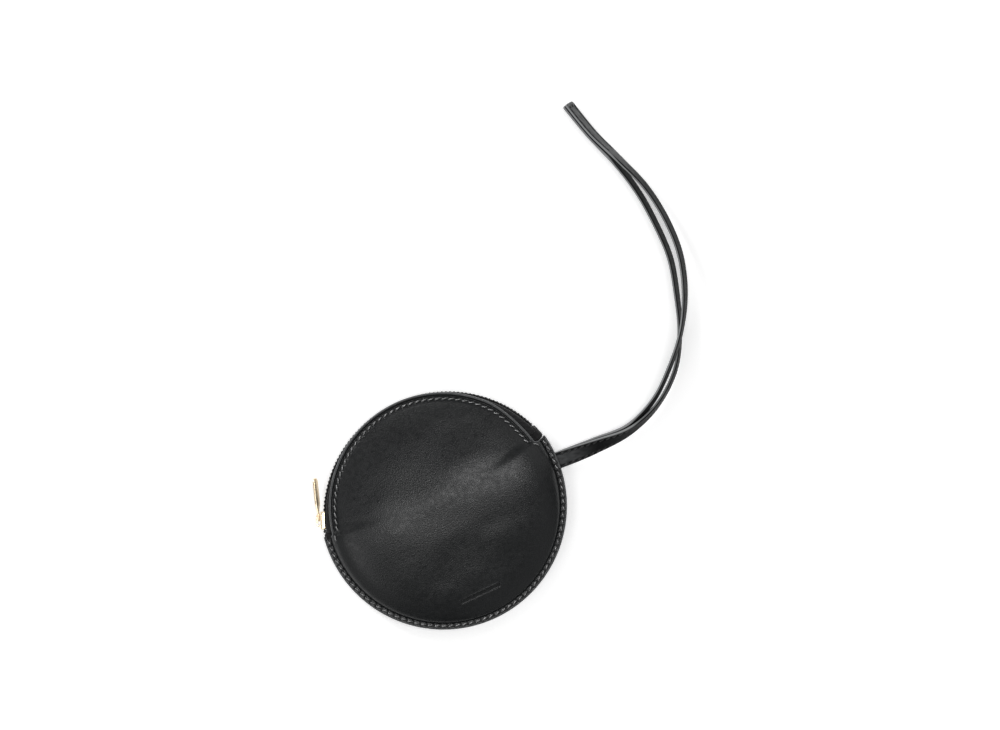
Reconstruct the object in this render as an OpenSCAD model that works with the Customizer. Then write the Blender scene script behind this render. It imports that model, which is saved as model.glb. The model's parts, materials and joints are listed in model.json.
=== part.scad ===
// Round zip coin purse with a leather wrist strap, lying on its back panel.
// The origin is on the table, under the centre of the sewn edge's circle.
// +X points at the strap, +Y at the middle of the zip mouth, +Z up.

/* [Leather body] */
// Radius of the edge where the two panels are sewn together
seam_r = 60; // [59:0.5:62]
// Radius of the panels' free edge along the mouth
panel_r = 54.5; // [53.5:0.5:55]
// Thickness of the panels' leather
leather_t = 1.2; // [0.9:0.1:1.4]
// Thickness of the lining cloth
lining_t = 0.5; // [0.3:0.1:0.6]
// Height of the seam's middle plane above the table
seam_z = 6.2; // [6:0.1:6.4]
// Height of the front panel's crown above the table
crown_z = 15.2; // [14.8:0.1:17]
// How far the crown falls from the centre to the free edge
crown_drop = 4.2; // [3.6:0.1:4.2]
// Radius of the flat part of the back panel
base_r = 42; // [36:1:44]
// Where the sewn edge ends and the mouth begins, along Y
notch_y = 10; // [8:0.5:10]

/* [Mouth and zip] */
// Line along Y where the front panel folds as the mouth opens
fold_y = 26; // [25.5:0.5:28]
// Widest opening of the mouth in degrees
mouth_angle = 25; // [15:1:28]
// Radius of the zip's chain
zip_r = 59.8; // [59.6:0.1:60]
// Distance of the zip circle's centre below the panels' centre
zip_drop = 5.4; // [5.3:0.1:5.5]
// Radial thickness of the coil
coil_t = 1.6; // [1.4:0.1:1.7]
// Width of one coil, across the chain
coil_w = 1.75; // [1.5:0.05:1.8]
// Thickness of the woven tape
tape_t = 0.5; // [0.4:0.05:0.6]

/* [Slider and puller] */
// Length of the slider along the chain in degrees of the zip circle
slider_arc = 7.8; // [7:0.1:8.2]
// Thickness of the slider's plates
plate_t = 0.9; // [0.7:0.05:1]
// Angle of the closed slider on the zip circle
slider_angle = 157; // [155:0.5:157]
// Length of the puller from its pin to its tip
puller_l = 20.7; // [16:0.1:22]
// Width of the puller's blade
blade_w = 4.2; // [3.6:0.1:4.6]
// Twist of the blade about its length in degrees
blade_twist = 20; // [0:1:25]

/* [Wrist strap] */
// Width of the strap
strap_w = 8.2; // [7:0.1:8.2]
// Thickness of each of its two strips
strap_t = 1.4; // [1:0.1:1.45]

/* [Hidden] */

$fn = 96;
BIG = 200;
gap = 0.1;
seat_gap = 0.05;
cut = 1;
// Degrees that the fold's cut leans back beyond the widest opening
fold_spare = 1;

// Heights of the sewn flange, and the shoulder between it and the panels' flats
flange_top = seam_z + leather_t;
flange_bottom = seam_z - leather_t;
flange_w = 4.4;
shoulder_r = 46;
shoulder_w = seam_r - flange_w - shoulder_r;
arc_step = 15;
crown_count = 6;
back_rise = 1;
rise_count = 3;

// The lining stops where the tape is sewn under the panel
lining_r = 47.5;
lining_out_from = 5;
lining_in_from = 10;
tape_in_r = 48.2;
tape_turn_r = 53.2;
tape_shelf = 2.9;
tape_mid_r = zip_r - coil_t / 2 - seat_gap - tape_t / 2;
tape_step = 4;

// The chain's two halves stand this far from its middle plane
zip_z = seam_z;
coil_gap = 0.35;

// Where each piece of the zip lies, in degrees on the zip circle
coil_arc = [22, 161.3];
tape_arc = [19.4, 162.8];
top_stop_arc = [161.5, 162.7];
bottom_stop_arc = [19.6, 21.6];
end_left_arc = [163, 164.2];
end_right_arc = [15.6, 19.2];

// The slider's channel runs clear of the coil outside and of the tape inside
run_gap = 0.3;
wing_out_r = zip_r + coil_t / 2 + run_gap;
wing_in_r = tape_mid_r - tape_t / 2 - run_gap;
wing_h = 3;
wing_in_h = 2.3;
lip_t = 0.6;
lip_depth = 1.3;
fin_t = 0.4;
fin_arc = 1.3;

// Folded tape ends and stops
end_in_r = wing_in_r - 0.4;
end_out_r = zip_r + 1.1;
end_h = 2.6;
stop_in_r = tape_mid_r + tape_t / 2 + seat_gap;
stop_out_r = zip_r + coil_t / 2 + 0.2;
stop_h = 2.3;

// Bail and puller, about the puller's pin
pin_r = 0.45;
pin_out = 0.85;
pin_ring_r = wing_out_r + plate_t + pin_out;
bail_half = 3;
bail_h = 2.3;
bail_w = 1.2;
window_half = 2.2;
window_h = 1.5;
arm_in = 0.9;
arm_out = 1.8;
arm_l = 4;
web_lap = 0.4;
blade_from = 4.6;
blade_lap = 0.6;
blade_t = 1.1;
puller_lean = 3.6;

// Stitch rows
seam_stitch_r = 57.8;
seam_stitch_end = 2.6;
mouth_stitch_r = 51.3;
mouth_stitch_arc = [13, 167];
thread_r = 0.2;
thread_lift = thread_r + seat_gap;

// Strap: middle line x, y, z; lean from flat to on edge; half the distance
// between the strips; how far the inner strip is lifted over the outer one
STRAP = [
    [60.5, -3.5, 6.2, 4, 0.8, 0],
    [79, -4.5, 5.8, 36, 0.8, 0],
    [97.5, -4.5, 5.0, 66, 0.8, 0.6],
    [114.5, 1.5, 4.8, 77, 1.15, 4],
    [129.5, 13, 4.5, 78, 0.9, 8.6],
    [140.5, 27.5, 4.5, 78, -0.85, 8.8],
    [148.5, 44, 5.3, 73, -2.7, 6.5],
    [153.5, 62, 5.5, 71, -3.0, 3],
    [154.2, 80, 5.5, 70, -3.0, 1],
    [152.3, 98.5, 5.2, 69, -2.3, 0],
    [147.5, 116, 4.9, 67, -1.2, 0],
    [141.5, 133.5, 4.7, 65, -0.8, 0],
    [137, 151.5, 4.7, 64, -0.8, 0]
];
strap_steps = 2;
root_stitches = [0, 4];
tip_stitches = [21, 24];
strap_thread_w = 0.5;
strap_thread_t = 0.25;
strap_thread_in = 1.2;
edge_round = 0.35;

leather_color = [0.14, 0.145, 0.15];
lining_color = [0.2, 0.2, 0.22];
tape_color = [0.1, 0.1, 0.1];
coil_color = [0.06, 0.06, 0.06];
gold_color = [0.86, 0.7, 0.45];
thread_color = [0.08, 0.08, 0.08];

// Cuts at the notches and at the fold

module below(y) {
    intersection() {
        children();
        translate([-BIG / 2, y - BIG, -BIG / 2]) cube(BIG);
    }
}

module above(y) {
    intersection() {
        children();
        translate([-BIG / 2, y, -BIG / 2]) cube(BIG);
    }
}

module fixed_side() {
    below(fold_y) children();
}

// The moving side's cut leans back, so that it stays clear as the mouth opens
module mouth_side() {
    intersection() {
        children();
        translate([0, fold_y + run_gap, zip_z])
            rotate([-mouth_angle - fold_spare, 0, 0])
            translate([-BIG / 2, 0, -BIG / 2]) cube(BIG);
    }
}

function reversed(list) = [for (i = [len(list) - 1:-1:0]) list[i]];

// Panel sections: [radius, height] lines, moved inwards by d

function front_z(r) = crown_z - crown_drop * pow(r / panel_r, 2);

function back_z(r) = r < base_r ? 0 : back_rise * pow((r - base_r) / (panel_r - base_r), 2);

function front_sewn_line(d, from = 0) = concat(
    [for (a = [from, each [arc_step:arc_step:90]]) [
        shoulder_r + (shoulder_w - d) * cos(a),
        flange_top - d + (front_z(shoulder_r) - flange_top) * sin(a)
    ]],
    [for (i = [crown_count - 1:-1:0]) let (r = i * shoulder_r / crown_count) [r, front_z(r) - d]]
);

function back_sewn_line(d, from = 0) = concat(
    [for (a = [from, each [arc_step:arc_step:90]]) [
        shoulder_r + (shoulder_w - d) * cos(a),
        (flange_bottom + d) - flange_bottom * sin(a)
    ]],
    [[0, d]]
);

function front_mouth_line(d, r_end) =
    [for (i = [crown_count:-1:0]) let (r = i * r_end / crown_count) [r, front_z(r) - d]];

function back_mouth_line(d, r_end) = concat(
    [for (i = [rise_count:-1:0])
        let (r = base_r + i * (r_end - base_r) / rise_count) [r, back_z(r) + d]],
    [[0, d]]
);

module turned(points) {
    rotate_extrude() polygon(points);
}

// Turns a section about the zip circle's centre; its origin is the chain's middle plane
module turned_arc(arc) {
    translate([0, -zip_drop, zip_z])
        rotate_extrude(angle = arc[1] - arc[0], start = arc[0]) children();
}

// Leather

module front_panel_whole() {
    below(notch_y) turned(concat(
        [[seam_r, seam_z], [seam_r, flange_top]],
        front_sewn_line(0),
        reversed(front_sewn_line(leather_t))
    ));
    above(notch_y) turned(concat(
        front_mouth_line(0, panel_r),
        reversed(front_mouth_line(leather_t, panel_r))
    ));
}

module front_panel() {
    color(leather_color) fixed_side() front_panel_whole();
}

module front_panel_mouth() {
    color(leather_color) mouth_side() front_panel_whole();
}

module back_panel() {
    color(leather_color) {
        below(notch_y) turned(concat(
            [[seam_r, seam_z], [seam_r, flange_bottom]],
            back_sewn_line(0),
            reversed(back_sewn_line(leather_t))
        ));
        above(notch_y) turned(concat(
            back_mouth_line(0, panel_r),
            reversed(back_mouth_line(leather_t, panel_r))
        ));
    }
}

// Lining: a cloth bag just inside the leather, its edges open at the tapes

module front_lining_whole() {
    skin = leather_t + gap;
    below(notch_y) turned(concat(
        front_sewn_line(skin, lining_out_from),
        reversed(front_sewn_line(skin + lining_t, lining_in_from))
    ));
    above(notch_y) turned(concat(
        front_mouth_line(skin, lining_r),
        reversed(front_mouth_line(skin + lining_t, lining_r))
    ));
}

module front_lining() {
    color(lining_color) fixed_side() front_lining_whole();
}

module front_lining_mouth() {
    color(lining_color) mouth_side() front_lining_whole();
}

module back_lining() {
    skin = leather_t + gap;
    color(lining_color) {
        below(notch_y) turned(concat(
            back_sewn_line(skin, lining_out_from),
            reversed(back_sewn_line(skin + lining_t, lining_in_from))
        ));
        above(notch_y) turned(concat(
            back_mouth_line(skin, lining_r),
            reversed(back_mouth_line(skin + lining_t, lining_r))
        ));
    }
}

// Zip tapes: sewn flat under the panel's edge, out to the chain, then up to it

function zip_reach(a, r) = -zip_drop * sin(a) + sqrt(r * r - pow(zip_drop * cos(a), 2));

// One section of a tape at angle a; side is 1 for the front and -1 for the back
function tape_section(a, side) =
    let (
        h = tape_t / 2,
        rc = zip_reach(a, tape_mid_r),
        turn = min(tape_turn_r, rc - gap),
        skin = leather_t + gap + h,
        z_in = side > 0 ? front_z(tape_in_r) - skin : back_z(tape_in_r) + skin,
        z_turn = side > 0 ? front_z(turn) - skin : back_z(turn) + skin,
        z_shelf = zip_z + side * tape_shelf,
        z_coil = zip_z + side * (coil_gap + seat_gap),
        u = side * h
    )
    [
        [tape_in_r, z_in + u], [turn, z_turn + u], [rc + h, z_shelf + u], [rc + h, z_coil],
        [rc - h, z_coil], [rc - h, z_shelf - u], [turn - h, z_turn - u], [tape_in_r, z_in - u]
    ];

// Angle seen from the panels' centre of a point at angle b on the zip circle
function panel_angle(b) = atan2(tape_mid_r * sin(b) - zip_drop, tape_mid_r * cos(b));

// Closed skin over rings of equal length, with flat ends. Each four-sided field
// is split along one diagonal, or along the other one where other_way is true
module skinned(rings, other_way = false) {
    n = len(rings[0]);
    last = len(rings) - 1;
    polyhedron(
        points = [for (ring = rings) each ring],
        faces = concat(
            [[for (i = [0:n - 1]) i]],
            [for (j = [0:last - 1], i = [0:n - 1]) let (
                a = j * n + i,
                b = (j + 1) * n + i,
                c = j * n + (i + 1) % n,
                d = (j + 1) * n + (i + 1) % n
            ) each other_way ? [[a, b, d], [a, d, c]] : [[a, b, c], [c, b, d]]],
            [[for (i = [n - 1:-1:0]) last * n + i]]
        )
    );
}

module tape_whole(side) {
    first = panel_angle(tape_arc[0]);
    span = panel_angle(tape_arc[1]) - first;
    count = ceil(span / tape_step);
    rings = [for (j = [0:count]) let (a = first + j * span / count)
        [for (p = tape_section(a, side)) [p[0] * cos(a), p[0] * sin(a), p[1]]]];
    skinned(side > 0 ? rings : reversed(rings));
}

module back_zip_tape() {
    color(tape_color) tape_whole(-1);
}

module front_zip_tape() {
    color(tape_color) fixed_side() tape_whole(1);
}

module front_zip_tape_mouth() {
    color(tape_color) mouth_side() tape_whole(1);
}

// Coils: each half of the chain as a plain bar round the zip circle

module coil_whole(side) {
    turned_arc(coil_arc)
        translate([zip_r - coil_t / 2, side > 0 ? coil_gap : -coil_gap - coil_w])
        square([coil_t, coil_w]);
}

module back_zip_coil() {
    color(coil_color) coil_whole(-1);
}

module front_zip_coil() {
    color(coil_color) fixed_side() coil_whole(1);
}

module front_zip_coil_mouth() {
    color(coil_color) mouth_side() coil_whole(1);
}

// Folded tape ends and stops

module zip_block(arc, r_in, r_out, z_low, z_high) {
    turned_arc(arc) translate([r_in, z_low]) square([r_out - r_in, z_high - z_low]);
}

module zip_end_left() {
    color(tape_color) zip_block(end_left_arc, end_in_r, end_out_r, -end_h, end_h);
}

module zip_end_right() {
    color(tape_color) zip_block(end_right_arc, end_in_r, end_out_r, -end_h, end_h);
}

module top_stop_front() {
    color(coil_color) zip_block(top_stop_arc, stop_in_r, stop_out_r, coil_gap, stop_h);
}

module top_stop_back() {
    color(coil_color) zip_block(top_stop_arc, stop_in_r, stop_out_r, -stop_h, -coil_gap);
}

module bottom_stop() {
    color(coil_color) zip_block(bottom_stop_arc, stop_in_r, stop_out_r, -stop_h, stop_h);
}

// Slider: two curved plates joined by a fin that runs between the coils

module slider_body() {
    whole = [slider_angle - slider_arc / 2, slider_angle + slider_arc / 2];
    out_r = wing_out_r + plate_t;
    lip_r = out_r - plate_t - lip_depth;
    color(gold_color) {
        turned_arc(whole) polygon([
            [out_r, -wing_h], [out_r, wing_h], [lip_r, wing_h], [lip_r, wing_h - lip_t],
            [wing_out_r, wing_h - lip_t], [wing_out_r, lip_t - wing_h],
            [lip_r, lip_t - wing_h], [lip_r, -wing_h]
        ]);
        zip_block(whole, wing_in_r - plate_t, wing_in_r, -wing_in_h, wing_in_h);
        zip_block([whole[1] - fin_arc, whole[1]],
            wing_in_r - plate_t / 2, wing_out_r + plate_t / 2, -fin_t / 2, fin_t / 2);
    }
}

// Places children at the puller's pin, +X along the chain and +Y outwards
module at_pin() {
    translate([0, -zip_drop, 0])
        rotate([0, 0, slider_angle - 90])
        translate([0, pin_ring_r, zip_z])
        children();
}

module bail_outline() {
    corner = 0.8;
    translate([-bail_half, -pin_out]) square([2 * bail_half, bail_h - corner]);
    translate([corner - bail_half, -pin_out]) square([2 * (bail_half - corner), bail_h]);
    for (s = [-1, 1])
        translate([s * (bail_half - corner), bail_h - pin_out - corner]) circle(r = corner, $fn = 24);
}

module slider_bail() {
    color(gold_color) at_pin() translate([0, 0, -bail_w / 2])
        linear_extrude(bail_w) difference() {
            bail_outline();
            translate([-window_half, -pin_out - cut]) square([2 * window_half, window_h + cut]);
        }
}

module puller() {
    color(gold_color) at_pin() rotate([0, 0, puller_lean]) {
        translate([0, 0, -arm_out]) cylinder(r = pin_r, h = 2 * arm_out, $fn = 24);
        for (z = [-arm_out, arm_in])
            translate([0, -pin_r, z]) cube([arm_l, 2 * pin_r, arm_out - arm_in]);
        translate([arm_l - web_lap, -pin_r, -arm_out])
            cube([blade_from + blade_lap - arm_l + web_lap, 2 * pin_r, 2 * arm_out]);
        rotate([blade_twist, 0, 0]) translate([0, blade_t / 2, 0]) rotate([90, 0, 0])
            linear_extrude(blade_t) {
                tip_x = puller_l - blade_w / 2;
                translate([blade_from, -blade_w / 2]) square([tip_x - blade_from, blade_w]);
                translate([tip_x, 0]) circle(d = blade_w, $fn = 32);
            }
    }
}

// Threads: each row of stitches as a thin ring just clear of the leather

module thread_ring(r, z, arc) {
    rotate_extrude(angle = arc[1] - arc[0], start = arc[0])
        translate([r, z]) circle(r = thread_r, $fn = 16);
}

module seam_thread() {
    end = asin(notch_y / seam_r) - seam_stitch_end;
    color(thread_color)
        for (z = [flange_top + thread_lift, flange_bottom - thread_lift])
            thread_ring(seam_stitch_r, z, [180 - end, 360 + end]);
}

module front_zip_thread_whole() {
    thread_ring(mouth_stitch_r, front_z(mouth_stitch_r) + thread_lift, mouth_stitch_arc);
}

module front_zip_thread() {
    color(thread_color) fixed_side() front_zip_thread_whole();
}

module front_zip_thread_mouth() {
    color(thread_color) mouth_side() front_zip_thread_whole();
}

module back_zip_thread() {
    color(thread_color)
        thread_ring(mouth_stitch_r, back_z(mouth_stitch_r) - thread_lift, mouth_stitch_arc);
}

// Wrist strap: two strips swept along the route, each ring square to its run

function unit(v) = v / norm(v);

function curve_point(p0, p1, p2, p3, t) = 0.5 * (
    2 * p1 + (p2 - p0) * t + (2 * p0 - 5 * p1 + 4 * p2 - p3) * t * t
    + (3 * p1 - p0 - 3 * p2 + p3) * t * t * t
);

last_row = len(STRAP) - 1;

stations = concat(
    [for (i = [0:last_row - 1], k = [0:strap_steps - 1]) curve_point(
        STRAP[max(i - 1, 0)], STRAP[i], STRAP[i + 1], STRAP[min(i + 2, last_row)], k / strap_steps
    )],
    [STRAP[last_row]]
);

function place(j) = [stations[j][0], stations[j][1], stations[j][2]];

// A w by t rectangle with cut corners at station j, moved by u along the
// strap's width and by v along its normal
function strap_ring(j, w, t, u, v) =
    let (
        run = unit(place(min(j + 1, len(stations) - 1)) - place(max(j - 1, 0))),
        out = unit(cross(run, [0, 0, 1])),
        up = cross(out, run),
        lean = stations[j][3],
        normal = cos(lean) * up + sin(lean) * out,
        across = cross(run, normal),
        c = min(edge_round, t / 3),
        a = w / 2,
        b = t / 2
    )
    [for (q = [
        [a - c, b], [a, b - c], [a, c - b], [a - c, -b],
        [c - a, -b], [-a, c - b], [-a, b - c], [c - a, b]
    ]) place(j) + across * (q[0] + u) + normal * (q[1] + v)];

// The outer strip is side 1 and the inner one side -1, which is lifted
module strip(side) {
    skinned([for (j = [0:len(stations) - 1]) strap_ring(
        j, strap_w, strap_t,
        side > 0 ? 0 : -stations[j][5],
        side * stations[j][4]
    )], other_way = true);
}

module strap_strip_outer() {
    color(leather_color) strip(1);
}

module strap_strip_inner() {
    color(leather_color) strip(-1);
}

// Two stitch rows on each face of the strap, from station span[0] to span[1]
module strap_rows(span) {
    row_u = strap_w / 2 - strap_thread_in;
    off = strap_t / 2 + strap_thread_t / 2 + seat_gap;
    for (u = [-row_u, row_u], face = [-1, 1])
        skinned([for (j = [span[0]:span[1]]) strap_ring(
            j, strap_thread_w, strap_thread_t, u, face * (abs(stations[j][4]) + off)
        )], other_way = true);
}

module strap_root_thread() {
    color(thread_color) strap_rows(root_stitches);
}

module strap_tip_thread() {
    color(thread_color) strap_rows(tip_stitches);
}

back_panel();
front_panel();
front_panel_mouth();
back_lining();
front_lining();
front_lining_mouth();
back_zip_tape();
front_zip_tape();
front_zip_tape_mouth();
back_zip_coil();
front_zip_coil();
front_zip_coil_mouth();
zip_end_left();
zip_end_right();
top_stop_front();
top_stop_back();
bottom_stop();
slider_body();
slider_bail();
puller();
seam_thread();
back_zip_thread();
front_zip_thread();
front_zip_thread_mouth();
strap_strip_outer();
strap_strip_inner();
strap_root_thread();
strap_tip_thread();
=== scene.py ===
import json
import math

import bmesh
import bpy
import numpy as np
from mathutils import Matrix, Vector, geometry, kdtree, noise


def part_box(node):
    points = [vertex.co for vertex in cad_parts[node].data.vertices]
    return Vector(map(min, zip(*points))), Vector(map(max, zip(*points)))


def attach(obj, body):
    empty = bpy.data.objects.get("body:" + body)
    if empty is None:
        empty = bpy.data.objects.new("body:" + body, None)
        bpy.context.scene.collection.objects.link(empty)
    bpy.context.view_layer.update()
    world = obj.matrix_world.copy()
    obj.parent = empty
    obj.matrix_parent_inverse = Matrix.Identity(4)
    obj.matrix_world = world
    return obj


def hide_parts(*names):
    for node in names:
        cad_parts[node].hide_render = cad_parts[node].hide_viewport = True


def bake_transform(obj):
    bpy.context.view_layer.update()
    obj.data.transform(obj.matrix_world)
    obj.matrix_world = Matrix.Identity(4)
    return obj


# Looks of a round leather coin purse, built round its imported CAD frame. The purse lies on
# its back panel: +X points at the strap, +Y at the middle of the zip mouth, +Z up.
# Lengths below are in millimetres in the row frame, unless a name ends in _m.

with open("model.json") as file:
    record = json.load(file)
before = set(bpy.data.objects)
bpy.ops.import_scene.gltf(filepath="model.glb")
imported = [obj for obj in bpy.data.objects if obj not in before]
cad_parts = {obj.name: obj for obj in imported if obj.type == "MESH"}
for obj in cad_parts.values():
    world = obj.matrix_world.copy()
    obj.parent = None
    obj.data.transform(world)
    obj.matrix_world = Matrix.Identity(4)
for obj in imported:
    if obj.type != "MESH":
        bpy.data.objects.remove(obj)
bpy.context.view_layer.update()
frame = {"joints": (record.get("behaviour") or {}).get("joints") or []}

MM = 0.001


def node_box(node):
    low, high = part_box(node)
    return np.array(low) / MM, np.array(high) / MM


def joint_place(name):
    found = [j for j in frame["joints"] if j["name"] == name]
    return np.array(found[0]["pos_m"]) / MM


UP = np.array([0.0, 0.0, 1.0])

# Leather body
SEAM_R = node_box("back_panel")[1][0]
SEAM_Z = node_box("front_panel")[0][2]
CROWN_Z = node_box("front_panel")[1][2] + 2.1
LEATHER_T = 1.2
PANEL_R = 55.3
FOOT_R = 56.9
FLANGE_TOP = SEAM_Z + LEATHER_T
FLANGE_BOTTOM = SEAM_Z - LEATHER_T
MOUTH_TOP = 11.0
MOUTH_BOTTOM = 1.0
MOUTH_LOW_Y = 9.0
NOTCH_Y = 11.4
NOTCH_LOW_Y = 9.6
EDGE_INSET = 0.62
EDGE_RINGS = 9
OUTLINE_STEP = 0.34

# The ridge over the pillow: slopes, rounding, the y of its middle, how far its ends swing
RIDGE_BACK = math.tan(math.radians(9.8))
RIDGE_FRONT = math.tan(math.radians(8))
RIDGE_TILT = 0.3
RIDGE_ROUND = 17.0
RIDGE_Y = 3.6
RIDGE_SWING = 2.4
RIDGE_REACH = 45

# Folds at the notches: start, direction, reach and depth
NOTCH_FOLDS = (
    ((52.0, 8.2), (-0.9, -0.44), 9.0, 0.06),
    ((-52.0, 8.6), (0.93, -0.37), 13.0, 0.12),
)

# Bead and crease along the mouth, and the debossed bar
BEAD_R = 54.5
BEAD_H = 0.4
# How light the mouth's bead is drawn: a painted highlight, partly wear
BEAD_HIGHLIGHT_AND_WEAR = 0.35
CREASE_R = 53.5
CREASE_DEPTH = 0.95
RULE_FROM = -11.4
RULE_TO = 8.2
RULE_Y = -45.8
RULE_HALF_W = 0.8
RULE_DEPTH = 0.36

# Lining
LINING_T = 0.5
LINING_R = 52.5
LINING_MOUTH_R = 47.5
LINING_LOW_Y = 8.7

# Stitches
SEAM_STITCH_R = 58.1
MOUTH_STITCH_R = 52.2
STITCH_PITCH = 3.35
STITCH_L = 3.0
STITCH_R = 0.35
STITCH_LIFT = 0.12
STITCH_DIP = 0.55
STITCH_SLANT = math.radians(20)
HOLE_DEPTH = 0.4
TROUGH_DEPTH = 0.3

# Zip
ZIP_CENTRE = joint_place("slider_run")
ZIP_R = 59.8
ZIP_Z = ZIP_CENTRE[2]
COIL_ARC = (22, 161.3)
TAPE_ARC = (19.4, 162.8)
TAPE_T = 0.5
TAPE_SHELF = 2.9
TAPE_IN_R = 48.2
TAPE_TURN_R = 53.2
TAPE_MID_R = 59.1
COIL_PITCH = 1.95
COIL_SHIFT = 0.12
WIRE_R = 0.34

# Ranges of y in metres handed to settle as bend for the pieces on the mouth's side; settle does not
# bend them
PANEL_BEND_M = (0.012, 0.04)
ZIP_BEND_M = (0.023, 0.035)

# Slider and puller
SLIDER_ANGLE = 157.0
SLIDER_ARC = 7.8
PIN = joint_place("puller_swing")
PULLER_LEAN = math.radians(3.6)
PULLER_L = 20.7
PULLER_W = 4.2
PULLER_T = 1.1
BLADE_START = 3.7
BLADE_NECK = 1.55
BLADE_TWIST = math.radians(20)
BEVEL_ANGLE = 0.6

# Strap: x, y, z; lean from flat to on edge; half the distance between the two strips;
# how far the inner strip is lifted over the outer one
STRAP_W = 8.2
STRAP_T = 1.4
SKIVED_T = 0.55
STRIP_EDGE = 0.45
STRAP_ROUTE = [
    (60.5, -3.5, 6.2, 4, 0.8, 0),
    (79, -4.5, 5.8, 36, 0.8, 0),
    (97.5, -4.5, 5.0, 66, 0.8, 0.6),
    (114.5, 1.5, 4.8, 77, 1.15, 4),
    (129.5, 13, 4.5, 78, 0.9, 8.6),
    (140.5, 27.5, 4.5, 78, -0.85, 8.8),
    (148.5, 44, 5.3, 73, -2.7, 6.5),
    (153.5, 62, 5.5, 71, -3.0, 3),
    (154.2, 80, 5.5, 70, -3.0, 1),
    (152.3, 98.5, 5.2, 69, -2.3, 0),
    (147.5, 116, 4.9, 67, -1.2, 0),
    (141.5, 133.5, 4.7, 61, -0.8, 0),
    (137, 151.5, 4.7, 59, -0.8, 0),
]
STRAP_STEPS = 16
ROOT_INSIDE = 4.8
ROOT_FIRST = 5.6
ROOT_SEWN = 42.0
TIP_SEWN = 31.0
TIP_MARGIN = 2.2
TIP_CORNER = 1.3
STRAP_ROW = 2.9
STRAP_SINK = 0.2
GROOVE_DEPTH = 0.3
# How strongly the tip's faces are drawn lighter as a painted sheen
TIP_SHEEN = 0.45
ROOT_RUBBED = 0.2

# The camera looks straight down, with the strap's side turned a little down
VIEW_CENTRE = np.array([53.8, 50.4, 6.0])
VIEW_TURN = math.radians(-25)
VIEW_WIDTH = 485.4
LENS = 85.0
SENSOR = 36.0


# ---- small helpers


def smooth(t):
    t = np.clip(t, 0, 1)
    return t * t * (3 - 2 * t)


def columns(*values):
    """Arrays and single values side by side, as the last axis of one array."""
    return np.stack(np.broadcast_arrays(*values), axis=-1)


def unit(v):
    v = np.asarray(v, float)
    return v / np.linalg.norm(v, axis=-1, keepdims=True)


def bump_at(distance, width):
    return np.exp(-((distance / width) ** 2))


def lengths_along(line):
    """Distance of each point of a line from its first, along the line."""
    return np.concatenate([[0], np.cumsum(np.linalg.norm(np.diff(line, axis=0), axis=1))])


def radial_at(angle):
    """Outward direction at an angle in degrees."""
    a = np.radians(angle)
    return columns(np.cos(a), np.sin(a), 0.0)


def zip_point(angle, radius, z):
    """A point on the zip circle, its angle in degrees and z from the chain's middle plane."""
    a = np.radians(angle)
    return columns(ZIP_CENTRE[0] + radius * np.cos(a), ZIP_CENTRE[1] + radius * np.sin(a), ZIP_Z + z)


def new_object(name, data):
    made = bpy.data.objects.new(name, data)
    bpy.context.scene.collection.objects.link(made)
    return made


def as_part(points, faces, grain=None, wear_and_highlight=None):
    """A part: points in mm, faces, the grain that its material is laid out by, and its wear and
    highlight, which is 1 on painted edges and on marked faces. Leather is drawn lighter there: a
    painted highlight along edges, a painted sheen at the strap's tip, and real wear at the strap's
    root and partly on the mouth's bead."""
    grain = points if grain is None else grain
    wear_and_highlight = np.zeros(len(points)) if wear_and_highlight is None else wear_and_highlight
    return points, faces, grain, wear_and_highlight


def add_object(name, part, material, sharp=None):
    """A smooth mesh piece made from a part, sharp past that angle in degrees."""
    points, faces, grain, wear_and_highlight = part
    mesh = bpy.data.meshes.new(name)
    mesh.from_pydata((points * MM).tolist(), [], [list(map(int, f)) for f in faces])
    mesh.validate()
    mesh.shade_smooth()
    if sharp is not None:
        mesh.set_sharp_from_angle(angle=math.radians(sharp))
    laid = mesh.attributes.new("grain", "FLOAT_VECTOR", "POINT")
    laid.data.foreach_set("vector", grain.astype(np.float32).ravel())
    # Marks the edges and faces that leather draws lighter: a painted highlight and sheen, partly real
    # wear
    edge = mesh.attributes.new("wear_and_highlight", "FLOAT", "POINT")
    edge.data.foreach_set("value", wear_and_highlight.astype(np.float32))
    mesh.materials.append(material)
    return new_object(name, mesh)


def settle(piece, slot, *cad_nodes, body="purse", bend=None):
    """Sets a piece on its body or, given bend, only bakes its transform into its mesh; nothing bends
    it. It stands for its CAD nodes, which it hides."""
    if bend is None:
        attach(piece, body)
    else:
        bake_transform(piece)
    if cad_nodes:
        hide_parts(*cad_nodes)


def join_parts(parts):
    points, faces, grain, wear_and_highlight = zip(*parts)
    starts = np.cumsum([0] + [len(p) for p in points])
    joined = [[i + start for i in f] for group, start in zip(faces, starts) for f in group]
    return np.concatenate(points), joined, np.concatenate(grain), np.concatenate(wear_and_highlight)


def wall_faces(rings, sides, closed=False):
    """Faces between the rings of a stack, which is joined end to end if closed."""
    faces = []
    for j in range(rings if closed else rings - 1):
        k = (j + 1) % rings
        for i in range(sides):
            n = (i + 1) % sides
            faces.append([j * sides + i, j * sides + n, k * sides + n, k * sides + i])
    return faces


def tube_faces(rings, sides, closed=False):
    """Faces over a stack of rings, with flat ends unless it is closed."""
    faces = wall_faces(rings, sides, closed)
    if not closed:
        faces.append(list(range(sides - 1, -1, -1)))
        faces.append([(rings - 1) * sides + i for i in range(sides)])
    return faces


def sweep(centres, xs, ys, sections, closed=False):
    """Sections, as (x, y) rows, set on centres along the axes xs and ys, which turn from
    x to y about the way the sweep runs."""
    if sections.ndim == 2:
        sections = np.broadcast_to(sections, (len(centres), *sections.shape))
    rings = centres[:, None] + xs[:, None] * sections[..., :1] + ys[:, None] * sections[..., 1:]
    return rings.reshape(-1, 3), tube_faces(len(centres), sections.shape[1], closed)


def wound_grain(length, turn):
    """Grain of a sweep: a length for each ring, and a turn for each of its sides."""
    return columns(np.repeat(length, len(turn)), np.tile(turn, len(length)), 0.0)


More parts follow.
